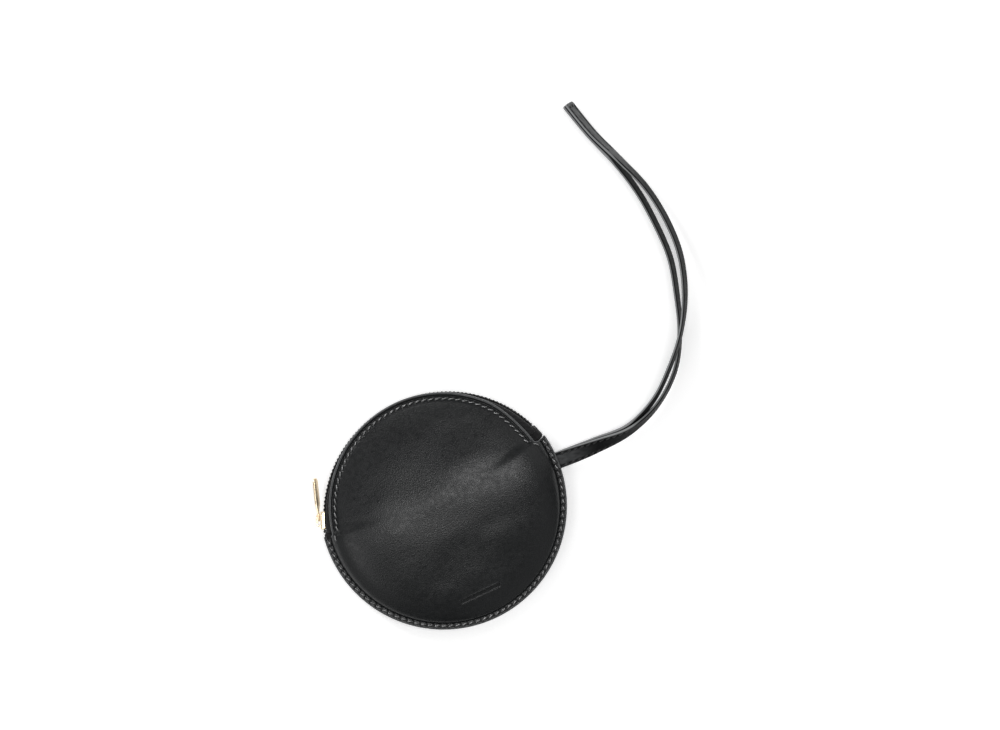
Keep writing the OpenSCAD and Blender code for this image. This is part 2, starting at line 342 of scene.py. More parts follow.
def rounded_rect(a, b, radius, steps=4):
    """Outline of a 2a by 2b rectangle with round corners, counterclockwise."""
    radius = min(radius, a * 0.98, b * 0.98)
    found = []
    for corner, (sx, sy) in enumerate([(1, 1), (-1, 1), (-1, -1), (1, -1)]):
        t = math.pi / 2 * (corner + np.arange(steps + 1) / steps)
        x = sx * (a - radius) + radius * np.cos(t)
        found.append(columns(x, sy * (b - radius) + radius * np.sin(t)))
    return np.concatenate(found)


def circle(radius, sides):
    t = np.arange(sides) * 2 * math.pi / sides
    return radius * columns(np.cos(t), np.sin(t))


def flat_frames(path):
    """Axes for a sweep along a flat path: across it, and up."""
    run = unit(np.gradient(path, axis=0))
    side = unit(np.cross(UP, run))
    return side, np.cross(run, side)


def bevel_sharp(points, faces, offset):
    """Rounds the sharp edges of a closed shape."""
    bm = bmesh.new()
    made = [bm.verts.new(p) for p in points]
    for f in faces:
        bm.faces.new([made[i] for i in f])
    bmesh.ops.recalc_face_normals(bm, faces=bm.faces)
    edges = [e for e in bm.edges if len(e.link_faces) == 2 and e.calc_face_angle() > BEVEL_ANGLE]
    bmesh.ops.bevel(bm, geom=edges, offset=offset, offset_type="OFFSET", segments=3, profile=0.5,
                    affect="EDGES", clamp_overlap=True)
    bm.verts.index_update()
    new_points = np.array([v.co[:] for v in bm.verts])
    new_faces = [[v.index for v in f.verts] for f in bm.faces]
    bm.free()
    return new_points, new_faces


# ---- camera


def add_camera():
    data = bpy.data.cameras.new("camera")
    data.lens = LENS
    data.sensor_width = SENSOR
    data.clip_start = 0.01
    data.clip_end = 20
    camera = new_object("camera", data)
    camera.location = Vector((VIEW_CENTRE + UP * VIEW_WIDTH * LENS / SENSOR) * MM)
    camera.rotation_euler = (0, 0, VIEW_TURN)
    bpy.context.scene.camera = camera


add_camera()


# ---- materials


class Look:
    """A material and the nodes that are added to it."""

    def __init__(self, name):
        self.material = bpy.data.materials.new(name)
        self.material.use_nodes = True
        self.tree = self.material.node_tree
        self.shader = self.tree.nodes["Principled BSDF"]

    def fill(self, node, inputs):
        """Links or sets a node's inputs, by name or number."""
        for key, value in inputs.items():
            if isinstance(value, bpy.types.NodeSocket):
                self.tree.links.new(value, node.inputs[key])
            else:
                node.inputs[key].default_value = value

    def node(self, kind, inputs, **settings):
        made = self.tree.nodes.new("ShaderNode" + kind)
        for key, value in settings.items():
            setattr(made, key, value)
        self.fill(made, inputs)
        return made

    def attribute(self, name, output):
        return self.node("Attribute", {}, attribute_name=name).outputs[output]

    def noise(self, vector, scale, detail=2.0):
        inputs = {"Vector": vector, "Scale": scale, "Detail": detail, "Roughness": 0.5}
        return self.node("TexNoise", inputs).outputs["Fac"]

    def spread(self, value, low, high, from_low=0.3, from_high=0.7):
        """A value taken from one range to another, and kept within it."""
        ends = {"From Min": from_low, "From Max": from_high, "To Min": low, "To Max": high}
        return self.node("MapRange", {"Value": value, **ends}).outputs["Result"]

    def operate(self, operation, a, b):
        return self.node("Math", {0: a, 1: b}, operation=operation).outputs[0]

    def times(self, a, b):
        return self.operate("MULTIPLY", a, b)

    def plus(self, a, b):
        return self.operate("ADD", a, b)

    def mix(self, factor, a, b):
        return self.node("Mix", {0: factor, 6: a, 7: b}, data_type="RGBA").outputs[2]

    def stretch(self, vector, scale):
        return self.node("Mapping", {"Vector": vector, "Scale": scale}).outputs["Vector"]

    def wave(self, vector, pitch, direction, distortion):
        """Sine bands of that pitch along one axis."""
        inputs = {"Vector": vector, "Scale": 2 * math.pi / 20 / pitch, "Distortion": distortion}
        inputs.update({"Detail": 1.0, "Detail Scale": 0.5})
        settings = {"wave_type": "BANDS", "bands_direction": direction, "wave_profile": "SIN"}
        return self.node("TexWave", inputs, **settings).outputs["Fac"]

    def finish(self, colour, roughness, height, strength, depth, more):
        """The material, with a relief of that depth in mm and more inputs of its shader."""
        inputs = {"Height": height, "Strength": strength, "Distance": depth * MM}
        normal = self.node("Bump", inputs).outputs["Normal"]
        self.fill(self.shader, {"Base Color": colour, "Roughness": roughness, "Normal": normal})
        self.fill(self.shader, more)
        return self.material


def leather_material(name, dark, light, rough, cell, depth, wear_and_highlight_colour, shine):
    """Satin calf: a pebbled grain of that cell size, uneven dye, and painted edges that are smoother,
    glossier and drawn lighter, a painted highlight that is partly wear.
    """
    look = Look(name)
    place = look.attribute("grain", "Vector")
    wear_and_highlight = look.attribute("wear_and_highlight", "Fac")
    dye = look.times(look.noise(place, 0.07, 3.0), look.noise(place, 1.1, 3.0))
    colour = look.mix(look.spread(dye, 0.0, 1.0, 0.15, 0.4), dark, light)
    # The marked edges and faces take the lighter colour: a painted highlight and sheen, partly real
    # wear
    colour = look.mix(look.times(wear_and_highlight, 0.8), colour, wear_and_highlight_colour)
    gloss = look.spread(look.noise(place, 0.5, 4.0), rough - 0.06, rough + 0.07)
    gloss = look.operate("SUBTRACT", gloss, look.times(wear_and_highlight, 0.1))
    warp = look.node("TexNoise", {"Vector": place, "Scale": 1.5, "Detail": 1.0}).outputs["Color"]
    shift = {0: warp, 1: (0.35, 0.35, 0.35), 2: place}
    bent = look.node("VectorMath", shift, operation="MULTIPLY_ADD").outputs[0]
    cells = look.node("TexVoronoi", {"Vector": bent, "Scale": 1 / cell}, feature="F1")
    pebbles = look.spread(cells.outputs["Distance"], 1.0, 0.0, 0.0, 0.75)
    height = look.plus(pebbles, look.times(look.noise(place, 4.5), 0.45))
    height = look.times(height, look.operate("SUBTRACT", 1.0, look.times(wear_and_highlight, 0.85)))
    return look.finish(colour, gloss, height, 1.0, depth, {"Specular IOR Level": shine})


def woven_material(name, dark, light, rib, depth, rough=0.85):
    """Woven tape or cloth: ribs along X of that pitch, crossed by finer threads along Y."""
    look = Look(name)
    place = look.attribute("grain", "Vector")
    cloth = look.times(look.wave(place, rib, "X", 0.6), look.wave(place, rib * 0.7, "Y", 0.8))
    cloth = look.plus(cloth, look.times(look.wave(place, rib * 2.2, "DIAGONAL", 0.4), 0.5))
    fuzz = look.noise(place, 5.0, 3.0)
    shade = look.plus(cloth, look.times(fuzz, 0.6))
    colour = look.mix(look.spread(shade, 0.0, 1.0, 0.2, 1.3), dark, light)
    gloss = look.spread(fuzz, rough - 0.08, rough + 0.08)
    more = {"Sheen Weight": 0.25, "Sheen Roughness": 0.4, "Specular IOR Level": 0.3}
    return look.finish(colour, gloss, shade, 1.0, depth, more)


def thread_material(name, dark, light, ior, shine):
    """Waxed thread: plies that wind round it, laid out as length and turn."""
    look = Look(name)
    place = look.attribute("grain", "Vector")
    fibres = look.noise(look.stretch(place, (3.0, 9.0, 1.0)), 1.0)
    shade = look.plus(look.wave(place, 0.5, "DIAGONAL", 0.2), look.times(fibres, 0.4))
    colour = look.mix(look.spread(shade, 0.0, 1.0, 0.2, 1.2), dark, light)
    more = {"Specular IOR Level": shine, "IOR": ior}
    return look.finish(colour, look.spread(fibres, 0.22, 0.36), shade, 0.8, 0.05, more)


def nylon_material(name, dark, light):
    """Dull nylon wire with a fine, uneven skin."""
    look = Look(name)
    place = look.attribute("grain", "Vector")
    patches = look.noise(place, 0.8, 3.0)
    colour = look.mix(look.spread(patches, 0.0, 1.0), dark, light)
    gloss = look.spread(patches, 0.34, 0.5)
    return look.finish(colour, gloss, look.noise(place, 7.0), 0.5, 0.02, {})


def gold_material(name, pale, warm):
    """Light gold plate: faint polishing lines, a few scuffed patches, a warmer tone in them."""
    look = Look(name)
    place = look.attribute("grain", "Vector")
    colour = look.mix(look.spread(look.noise(place, 0.6, 3.0), 0.0, 1.0), pale, warm)
    lines = look.noise(look.stretch(place, (0.5, 9.0, 9.0)), 1.0, 3.0)
    gloss = look.spread(lines, 0.24, 0.38)
    return look.finish(colour, gloss, lines, 0.2, 0.01, {"Metallic": 1.0})


# Colours are dark, light and, for leather, the lighter tone of its edges and marked faces: a painted
# highlight and sheen, partly real wear
LEATHER = leather_material(
    "leather", (0.0050, 0.0057, 0.0062, 1), (0.0078, 0.0088, 0.0094, 1), 0.34, 0.68, 0.034,
    (0.14, 0.144, 0.148, 1), 0.36,
)
STRAP_LEATHER = leather_material(
    "strap_leather", (0.0048, 0.0053, 0.0057, 1), (0.009, 0.0098, 0.0103, 1), 0.5, 0.5, 0.025,
    (0.3, 0.306, 0.31, 1), 0.05,
)
LINING = woven_material("lining", (0.012, 0.012, 0.014, 1), (0.035, 0.035, 0.04, 1), 0.5, 0.06, 0.75)
TAPE = woven_material("zip_tape", (0.004, 0.004, 0.0045, 1), (0.016, 0.016, 0.0165, 1), 0.62, 0.1)
NYLON = nylon_material("zip_coil", (0.006, 0.006, 0.0065, 1), (0.016, 0.016, 0.017, 1))
THREAD = thread_material("thread", (0.012, 0.012, 0.0125, 1), (0.07, 0.071, 0.073, 1), 1.85, 1.0)
STRAP_THREAD = thread_material(
    "strap_thread", (0.005, 0.005, 0.0055, 1), (0.014, 0.0145, 0.015, 1), 1.5, 0.5
)
GOLD = gold_material("gold_metal", (0.98, 0.84, 0.62, 1), (0.94, 0.74, 0.48, 1))


# ---- stitches


def stitch_part(centre, along, up):
    """One stitch: a short thread that rises out of the leather and dips back into it."""
    steps, sides = 9, 8
    t = np.linspace(-1, 1, steps)
    dip = np.abs(t) ** 4
    centres = centre + along * (t * STITCH_L / 2)[:, None]
    centres = centres + up * (STITCH_LIFT - STITCH_DIP * dip)[:, None]
    thick = STITCH_R * (1 - 0.4 * dip)
    sections = circle(1.0, sides) * thick[:, None, None] * np.array([1.1, 0.85])
    side = np.tile(np.cross(up, along), (steps, 1))
    points, faces = sweep(centres, side, np.tile(up, (steps, 1)), sections)
    grain = wound_grain(t * STITCH_L / 2, np.arange(sides) / sides * 1.6)
    return as_part(points, [f[::-1] for f in faces], grain)


def slanted(along, up):
    return along * math.cos(STITCH_SLANT) + np.cross(up, along) * math.sin(STITCH_SLANT)


def add_stitches(name, places, material=THREAD):
    """places are rows of (centre, along, up)."""
    parts = [stitch_part(c, slanted(a, u), u) for c, a, u in places]
    return add_object(name, join_parts(parts), material)


# ---- strap


def strap_stations():
    """The strap's rows at even steps along a Catmull-Rom curve through its route, from
    inside the seam, and at finer steps near the tip."""
    rows = np.array(STRAP_ROUTE, float)
    rows = np.concatenate([rows[:1], rows, rows[-1:]])
    found = []
    for p0, p1, p2, p3 in zip(rows, rows[1:], rows[2:], rows[3:]):
        for t in np.arange(STRAP_STEPS) / STRAP_STEPS:
            curve = 2 * p1 + (p2 - p0) * t + (2 * p0 - 5 * p1 + 4 * p2 - p3) * t * t
            found.append(0.5 * (curve + (3 * p1 - p0 - 3 * p2 + p3) * t**3))
    found = np.array(found + [rows[-1]])
    root = found[0].copy()
    root[:3] += unit(found[0, :3] - found[1, :3]) * ROOT_INSIDE
    found = np.concatenate([[root], found])
    length = lengths_along(found[:, :3])
    fine = length[-1] - 5
    at = [np.linspace(0, fine, int(fine), endpoint=False), np.linspace(fine, length[-1], 26)]
    return columns(*[np.interp(np.concatenate(at), length, row) for row in found.T])


STATIONS = strap_stations()
STRAP_PLACE = STATIONS[:, :3]
STRAP_RUN = unit(np.gradient(STRAP_PLACE, axis=0))
STRAP_ALONG = lengths_along(STRAP_PLACE)
STRAP_END = STRAP_ALONG[-1]
STRAP_OUT = unit(np.cross(STRAP_RUN, UP))
STRAP_LEAN = np.radians(STATIONS[:, 3])[:, None]
STRAP_NORMAL = np.cos(STRAP_LEAN) * np.cross(STRAP_OUT, STRAP_RUN) + np.sin(STRAP_LEAN) * STRAP_OUT
STRAP_ACROSS = np.cross(STRAP_RUN, STRAP_NORMAL)
# The strips are thinned where they go in between the panels, and a little at the tip
SKIVE = smooth((STRAP_ALONG - 3.2) / 6)
STRIP_T = SKIVED_T + (STRAP_T - SKIVED_T) * SKIVE
STRIP_T = STRIP_T - 0.25 * smooth((STRAP_ALONG - STRAP_END + TIP_SEWN) / 8)


def strip_centres(side):
    """Centre line of one strip: side is 1 for the outer and -1 for the inner one."""
    spread_by = STATIONS[:, 4] * (0.36 + 0.64 * SKIVE)
    centres = STRAP_PLACE + STRAP_NORMAL * (side * spread_by)[:, None]
    if side < 0:
        centres = centres - STRAP_ACROSS * STATIONS[:, 5][:, None]
    return centres


def strip_section(thick):
    """Flat faces and full, rounded edges."""
    face = STRAP_W / 2 - STRIP_EDGE
    across = np.linspace(face, -face, 43)
    turn = np.linspace(0, math.pi, 13)[1:-1]
    top = columns(across, thick / 2)
    edge = columns(-face - STRIP_EDGE * np.sin(turn), thick / 2 * np.cos(turn))
    return np.concatenate([top, edge, -top, -edge])


def sewn_groove(along, across):
    """Depth of the channel that the stitches pull into both faces at root and tip."""
    rows = bump_at(np.abs(across) - STRAP_ROW, 0.5)
    root = rows * (along < ROOT_SEWN)
    tip = rows * (along > STRAP_END - TIP_SEWN) * (along < STRAP_END - TIP_MARGIN)
    cross = bump_at(along - (STRAP_END - TIP_MARGIN), 0.5) * (np.abs(across) < STRAP_ROW)
    return GROOVE_DEPTH * np.maximum(np.maximum(root, tip), cross)


def strip_wear_and_highlight(side, along, across, turned, flat):
    """Painted edges, drawn lighter as a painted highlight with painted shade along one side where the
    strips part, faces with real wear at the root, and a painted sheen on the faces at the tip. turned
    goes from -1 to 1 over the strip's thickness."""
    to_end = STRAP_END - along
    apart = smooth((along - ROOT_SEWN) / 8) * smooth((to_end - TIP_SEWN) / 8)
    # The edge is drawn lighter across its middle as a painted highlight, and darker on one side where
    # the strips part as painted shade
    painted = 1 - 0.95 * turned**4 - 0.9 * apart * smooth((turned + 0.1) / 0.5)
    wear_and_highlight = np.where(flat, 0, painted)
    wear_and_highlight = np.where(to_end < 0.35, 1, wear_and_highlight)
    # A painted sheen on the faces towards the tip, and real wear at the root, patchy along the strip
    sheen_and_rub = TIP_SHEEN * smooth((TIP_SEWN + 26 - to_end) / 30)
    sheen_and_rub = sheen_and_rub + ROOT_RUBBED * smooth((26 - along) / 18)
    places = zip(along.ravel(), across.ravel())
    patches = [noise.noise(Vector((a / 2.6, u / 1.2, 5.0 * side))) for a, u in places]
    return np.maximum(wear_and_highlight, sheen_and_rub * (1 + 0.6 * np.reshape(patches, along.shape)) * flat)


def add_strip(name, side):
    """One strip: side is 1 for the outer and -1 for the inner one."""
    centres = strip_centres(side)
    sections = np.array([strip_section(t) for t in STRIP_T])
    along = np.repeat(STRAP_ALONG[:, None], sections.shape[1], axis=1)
    to_end = STRAP_END - along
    past = np.clip(TIP_CORNER - to_end, 0, TIP_CORNER)
    sections[..., 0] *= 1 - (TIP_CORNER - np.sqrt(TIP_CORNER**2 - past**2)) / (STRAP_W / 2)
    across = sections[..., 0]
    flat = np.abs(across) < STRAP_W / 2 - 0.5
    depth = sewn_groove(along, across) * flat
    sections[..., 1] -= np.sign(sections[..., 1]) * depth
    sections[..., 1] *= 1 - 0.45 * smooth(1 - to_end / 0.5)
    points, faces = sweep(centres, STRAP_ACROSS, STRAP_NORMAL, sections)
    turned = sections[..., 1] / (STRIP_T / 2)[:, None]
    # The painted highlight, the sheen and the wear stop at the sewn grooves, which keep the leather's
    # dark colour
    wear_and_highlight = strip_wear_and_highlight(side, along, across, turned, flat) * (1 - depth / GROOVE_DEPTH)
    grain = columns(along, across + 30 * side, sections[..., 1]).reshape(-1, 3)
    return add_object(name, (points, faces, grain, wear_and_highlight.ravel()), STRAP_LEATHER, 50), centres


def along_strap(distance, values):
    return np.array([np.interp(distance, STRAP_ALONG, row) for row in values.T])


def strap_stitch_places(side, first, last, crossing=None):
    """Two rows of stitches on the outer face of one strip, and a short row across."""
    centres = strip_centres(side)
    face = np.sign(side * STATIONS[np.abs(STRAP_ALONG - first).argmin(), 4])
    count = int(round((last - first) / STITCH_PITCH))
    steps = first + (np.arange(count) + 0.5) * (last - first) / count
    places = []
    for u in (-STRAP_ROW, STRAP_ROW):
        for s in steps:
            normal = unit(along_strap(s, STRAP_NORMAL)) * face
            out = normal * (np.interp(s, STRAP_ALONG, STRIP_T) / 2 - STRAP_SINK)
            centre = along_strap(s, centres) + unit(along_strap(s, STRAP_ACROSS)) * u
            places.append((centre + out, unit(along_strap(s, STRAP_RUN)), normal))
    if crossing is not None:
        normal = unit(along_strap(crossing, STRAP_NORMAL)) * face
        across = unit(along_strap(crossing, STRAP_ACROSS))
        middle = along_strap(crossing, centres) + normal * (STRAP_T / 2 - STRAP_SINK)
        places += [(middle + across * u, across, normal) for u in (-STRAP_ROW / 2, STRAP_ROW / 2)]
    return places


strip_outer, centres_outer = add_strip("strap_strip_outer.leather", 1)
strip_inner, centres_inner = add_strip("strap_strip_inner.leather", -1)
tip_rows = (STRAP_END - TIP_SEWN, STRAP_END - TIP_MARGIN, STRAP_END - TIP_MARGIN)
root_places = strap_stitch_places(1, ROOT_FIRST, ROOT_SEWN)
root_places += strap_stitch_places(-1, ROOT_FIRST, ROOT_SEWN)
tip_places = strap_stitch_places(1, *tip_rows) + strap_stitch_places(-1, *tip_rows)
root_stitches = add_stitches("strap_root.stitches", root_places, STRAP_THREAD)
tip_stitches = add_stitches("strap_tip.stitches", tip_places, STRAP_THREAD)
settle(strip_outer, "strap_leather", "strap_strip_outer")
settle(strip_inner, "strap_leather", "strap_strip_inner")
settle(root_stitches, "thread", "strap_root_thread")
settle(tip_stitches, "thread", "strap_tip_thread")


# ---- shape of the panels


def drawn_in(x, y):
    """How far the mouth's edge is drawn in from its circle, next to the closed end of the zip."""
    a = np.degrees(np.arctan2(y, x))
    return 1.1 * smooth((44 - a) / 24) * (a > 0)


def mouth_radius(x, y):
    """Distance from the centre, counted from the mouth's drawn-in edge."""
    return np.hypot(x, y) + drawn_in(x, y)


def mouth_share(x, y):
    """0 along the sewn edge and 1 along the mouth, turning smoothly past each notch."""
    return smooth((np.degrees(np.arctan2(y, np.abs(x))) - 8.5) / 7)


def body_height(x, y, sewn_base, mouth_base, ridge, power):
    """A pillow that springs steeply from the sewn flange and gently from the mouth's edge."""
    share = mouth_share(x, y)
    base = sewn_base + (mouth_base - sewn_base) * share
    foot = FOOT_R + (PANEL_R + 0.6 - FOOT_R) * share
    u = np.clip((np.hypot(x, y) + share * drawn_in(x, y)) / foot, 0, 1)
    rise = (1 - u ** (power - share)) ** (1 / (1.8 - 0.8 * share))
    return base + (ridge - base) * rise


def strap_bulge(x, y):
    """The flange swells round the strap's root."""
    return 0.55 * smooth((x - 53.5) / 3) * np.exp(-(((y + 3.5) / 5.2) ** 6))


def sag(x, y):
    """Slow unevenness of the leather, fading out towards the edges."""
    calm = smooth((51 - np.hypot(x, y)) / 14)
    slow = [noise.noise(Vector((px / 26, py / 15, 3.7))) for px, py in zip(x, y)]
    quick = [noise.noise(Vector((px / 11, py / 8, 8.1))) for px, py in zip(x, y)]
    return calm * (0.42 * np.array(slow) + 0.08 * np.array(quick))


def notch_folds(x, y):
    """A fold that runs into the panel from each notch and dies away, with a swell beside it."""
    found = 0 * x
    for start, way, reach, depth in NOTCH_FOLDS:
        along = (x - start[0]) * way[0] + (y - start[1]) * way[1]
        off = (y - start[1]) * way[0] - (x - start[0]) * way[1]
        fade = np.clip(1 - along / reach, 0, 1) ** 1.4 * smooth((along + 2) / 2.5)
        found = found - depth * fade * (bump_at(off, 1.9) - 0.5 * bump_at(off - 2.8, 2.2))
    return found


def front_smooth(x, y):
    """The front panel without its fine relief: a ridge line that swings round towards its ends,
    steeper on the mouth's side, over a pillow."""
    turn = np.clip(x / RIDGE_REACH, -1, 1)
    off = y - RIDGE_Y + RIDGE_SWING * turn
    slope = np.where(off > 0, RIDGE_BACK, RIDGE_FRONT * (1 + RIDGE_TILT * turn))
    ridge = CROWN_Z - slope * (np.hypot(off, RIDGE_ROUND) - RIDGE_ROUND)
    return body_height(x, y, FLANGE_TOP, MOUTH_TOP, ridge, 6) + strap_bulge(x, y)


def back_smooth(x, y):
    return body_height(x, y, FLANGE_BOTTOM, MOUTH_BOTTOM, 0 * x, 9) - strap_bulge(x, y)


def stitch_angles(radius, first, last):
    """Angles in degrees of the stitches on a round row."""
    count = int(round(math.radians(last - first) * radius / STITCH_PITCH))
    return first + (np.arange(count) + 0.5) * (last - first) / count


SEAM_END = math.degrees(math.asin(NOTCH_Y / SEAM_R)) - 2.2
SEAM_ANGLES = stitch_angles(SEAM_STITCH_R, 180 - SEAM_END, 360 + SEAM_END)
MOUTH_ANGLES = stitch_angles(MOUTH_STITCH_R, 11.5, 168.5)


def row_relief(x, y, radius, angles, turned):
    """Holes at both ends of each stitch of a round row, and the trough that they pull."""
    r = mouth_radius(x, y) if radius == MOUTH_STITCH_R else np.hypot(x, y)
    a = np.degrees(np.arctan2(y, x))
    a = np.where(a < angles[0] - 3, a + 360, a)
    step = angles[1] - angles[0]
    index = np.clip(np.round((a - angles[0]) / step), 0, len(angles) - 1)
    away = np.radians(a - (angles[0] + index * step)) * radius
    out = r - radius
    lean = STITCH_SLANT * turned
    p = away * math.cos(lean) - out * math.sin(lean)
    q = away * math.sin(lean) + out * math.cos(lean)
    holes = HOLE_DEPTH * bump_at(np.abs(p) - STITCH_L / 2, 0.36) * bump_at(q, 0.42)
    return -holes - TROUGH_DEPTH * bump_at(out, 0.75) * (np.abs(away) < STITCH_PITCH)


def stitch_relief(x, y, turned):
    """The relief of the sewn row and the mouth's row."""
    sewn = row_relief(x, y, SEAM_STITCH_R, SEAM_ANGLES, turned) * (mouth_share(x, y) < 0.2)
    return sewn + row_relief(x, y, MOUTH_STITCH_R, MOUTH_ANGLES, turned) * (y > MOUTH_LOW_Y)


def edge_relief(x, y):
    """The groove at the flange's foot, and the bead and crease along the mouth."""
    share = mouth_share(x, y)
    groove = -0.4 * bump_at(np.hypot(x, y) - FOOT_R, 0.6) * (1 - share)
    r = mouth_radius(x, y)
    mouth = BEAD_H * bump_at(r - BEAD_R, 0.8) - CREASE_DEPTH * bump_at(r - CREASE_R, 0.48)
    return groove + mouth * smooth((share - 0.15) / 0.6)


def rule_relief(x, y):
    """A plain debossed bar with round ends and a slight swell round it."""
    past = np.maximum(np.maximum(RULE_FROM - x, x - RULE_TO), 0)
    away = np.hypot(past, y - RULE_Y)
    swell = 0.07 * bump_at(away - 1.25, 0.3)
    return swell - RULE_DEPTH * smooth((RULE_HALF_W + 0.2 - away) / 0.36)


def front_top(x, y):
    relief = edge_relief(x, y) + rule_relief(x, y) + notch_folds(x, y) + stitch_relief(x, y, 1)
    return front_smooth(x, y) + relief + sag(x, y)


def front_under(x, y):
    crease = -0.45 * bump_at(mouth_radius(x, y) - 53.3, 1.0) * (y > MOUTH_LOW_Y)
    return front_smooth(x, y) - LEATHER_T + crease * mouth_share(x, y)


def back_outer(x, y):
    groove = -0.3 * bump_at(np.hypot(x, y) - FOOT_R, 0.5) * (1 - mouth_share(x, y))
    return back_smooth(x, y) - 0.5 * stitch_relief(x, y, -1) - groove


def back_inner(x, y):
    return back_smooth(x, y) + LEATHER_T


# ---- panels


def panel_outline(sewn_r, mouth_r, notch_low):
    """The round edge with a notch on each side, its corners softened."""
    corner = math.degrees(math.asin(NOTCH_Y / sewn_r))
    low = math.degrees(math.asin(notch_low / mouth_r))
    sewn = sewn_r * radial_at(np.arange(180 - corner, 360 + corner, 0.33))[:, :2]
    ray = radial_at(np.arange(low, 180 - low, 0.36))[:, :2]
    mouth = (mouth_r - drawn_in(*ray.T))[:, None] * ray
    inner = np.array([mouth_r + 0.45 * (sewn_r - mouth_r), notch_low - 0.1])
    sharp = np.concatenate([sewn, [inner], mouth, [inner * (-1, 1)], sewn[:1]])
    length = lengths_along(sharp)
    at = np.linspace(0, length[-1], int(length[-1] / OUTLINE_STEP), endpoint=False)
    line = columns(*[np.interp(at, length, row) for row in sharp.T])
    for _ in range(14):
        line = (np.roll(line, 1, axis=0) + 2 * line + np.roll(line, -1, axis=0)) / 4
    return line


def outline_normals(line):
    run = unit(np.roll(line, -1, axis=0) - np.roll(line, 1, axis=0))
    return columns(run[:, 1], -run[:, 0])


def fill_points(line, normals, spacing, inset):
    """Points on rings inside an outline, as dense as spacing(radius) says."""
    tree = kdtree.KDTree(len(line))
    for i, p in enumerate(line):
        tree.insert((p[0], p[1], 0), i)
    tree.balance()
    kept = []
    r = SEAM_R - inset
    ring = 0
    while r > 0.6:
        gap = spacing(r)
        count = max(6, int(round(2 * math.pi * r / gap)))
        turn = (ring * 0.618) % 1
        for k in range(count):
            a = 2 * math.pi * (k + turn) / count
            p = np.array([r * math.cos(a), r * math.sin(a)])
            near = tree.find((p[0], p[1], 0))[1]
            if r <= 49 or (p - line[near]).dot(normals[near]) <= -inset:
                kept.append(p)
        r -= gap * 0.87
        ring += 1
    return kept


def fill_outline(line, inner):
    count = len(line)
    corners = [Vector(p) for p in line] + [Vector(p) for p in inner]
    edges = [(i, (i + 1) % count) for i in range(count)]
    made = geometry.delaunay_2d_cdt(corners, edges, [], 1, 1e-5)
    return np.array([v[:] for v in made[0]]), [list(f) for f in made[2]]


def panel_part(line, top, under, fine, coarse, extra=(), painted=1.0):
    """A closed sheet of leather or cloth between two height functions, its edge rounded."""
    normals = outline_normals(line)
    inset = line - normals * EDGE_INSET
    sheets = []
    for height, spacing, more in ((top, fine, extra), (under, coarse, ())):
        inner = fill_points(line, normals, spacing, EDGE_INSET + 0.22) + list(more)
        flat, faces = fill_outline(inset, inner)
        sheets.append((columns(*flat.T, height(*flat.T)), faces))
    z_high, z_low = top(*inset.T), under(*inset.T)
    rings = []
    for t in np.linspace(math.pi / 2, -math.pi / 2, EDGE_RINGS):
        place = line - normals * EDGE_INSET * (1 - math.cos(t))
        z = (z_high + z_low) / 2 + (z_high - z_low) / 2 * math.sin(t)
        rings.append(columns(*place.T, z))
    wall = [f[::-1] for f in wall_faces(EDGE_RINGS, len(line))]
    from_middle = np.arange(EDGE_RINGS) - (EDGE_RINGS - 1) / 2
    # The rounded edge is drawn lighter, most at its middle: a painted highlight, which the lining does
    # not get
    wear_and_highlight = painted * np.repeat(np.exp(-((from_middle / 3.2) ** 4)), len(line))
    (high, high_faces), (low, low_faces) = sheets
    low_faces = [f[::-1] for f in low_faces]
    edge = as_part(np.concatenate(rings), wall, None, wear_and_highlight)
    return welded(join_parts([as_part(high, high_faces), edge, as_part(low, low_faces)]))


def welded(part):
    """Joins corners that share a place, keeping the highest wear and highlight value."""
    points, faces, grain, wear_and_highlight = part
    first = {}
    index = [first.setdefault(tuple(p), i) for i, p in enumerate(np.round(points, 4))]
    kept = sorted(first.values())
    place = dict(zip(kept, range(len(kept))))
    index = [place[i] for i in index]
    highest = np.zeros(len(kept))
    np.maximum.at(highest, index, wear_and_highlight)
    faces = [[index[i] for i in f] for f in faces]
    return points[kept], [f for f in faces if len(set(f)) == len(f)], grain[kept], highest


def fine_spacing(r):
    return np.interp(r, [0, 20, 42, 49.5, 50.3, 60], [2.4, 1.8, 0.95, 0.55, 0.33, 0.33])


def coarse_spacing(r):
    return np.interp(r, [0, 30, 50, 60], [3.0, 2.4, 1.3, 0.8])


def rule_points():
    """A dense grid round the debossed bar."""
    xs = np.arange(RULE_FROM - 1.6, RULE_TO + 1.6, 0.2)
    ys = np.arange(RULE_Y - 1.6, RULE_Y + 1.6, 0.2)
    return [(x + 0.013 * k, y) for k, y in enumerate(ys) for x in xs]


def add_bead_highlight(part):
    """Adds a band along the mouth's bead, drawn lighter as a painted highlight that is partly wear, to
    the front panel's wear and highlight values.
    """
    points, faces, grain, wear_and_highlight = part
    x, y, z = points.T
    bead = BEAD_HIGHLIGHT_AND_WEAR * bump_at(mouth_radius(x, y) - 54.8, 0.45) * mouth_share(x, y)
    return points, faces, grain, np.maximum(wear_and_highlight, bead * (z > SEAM_Z))


PANEL_LINE = panel_outline(SEAM_R, PANEL_R, NOTCH_LOW_Y)
LINING_LINE = panel_outline(LINING_R, LINING_MOUTH_R, LINING_LOW_Y)


def add_front_panel():
    part = panel_part(
        PANEL_LINE, front_top, front_under, fine_spacing, coarse_spacing, rule_points()
    )
    piece = add_object("front_panel.leather", add_bead_highlight(part), LEATHER)
    settle(piece, "leather", "front_panel", "front_panel_mouth", bend=PANEL_BEND_M)


def add_back_panel():
    part = panel_part(PANEL_LINE, back_inner, back_outer, coarse_spacing, fine_spacing)
    settle(add_object("back_panel.leather", part, LEATHER), "leather", "back_panel")


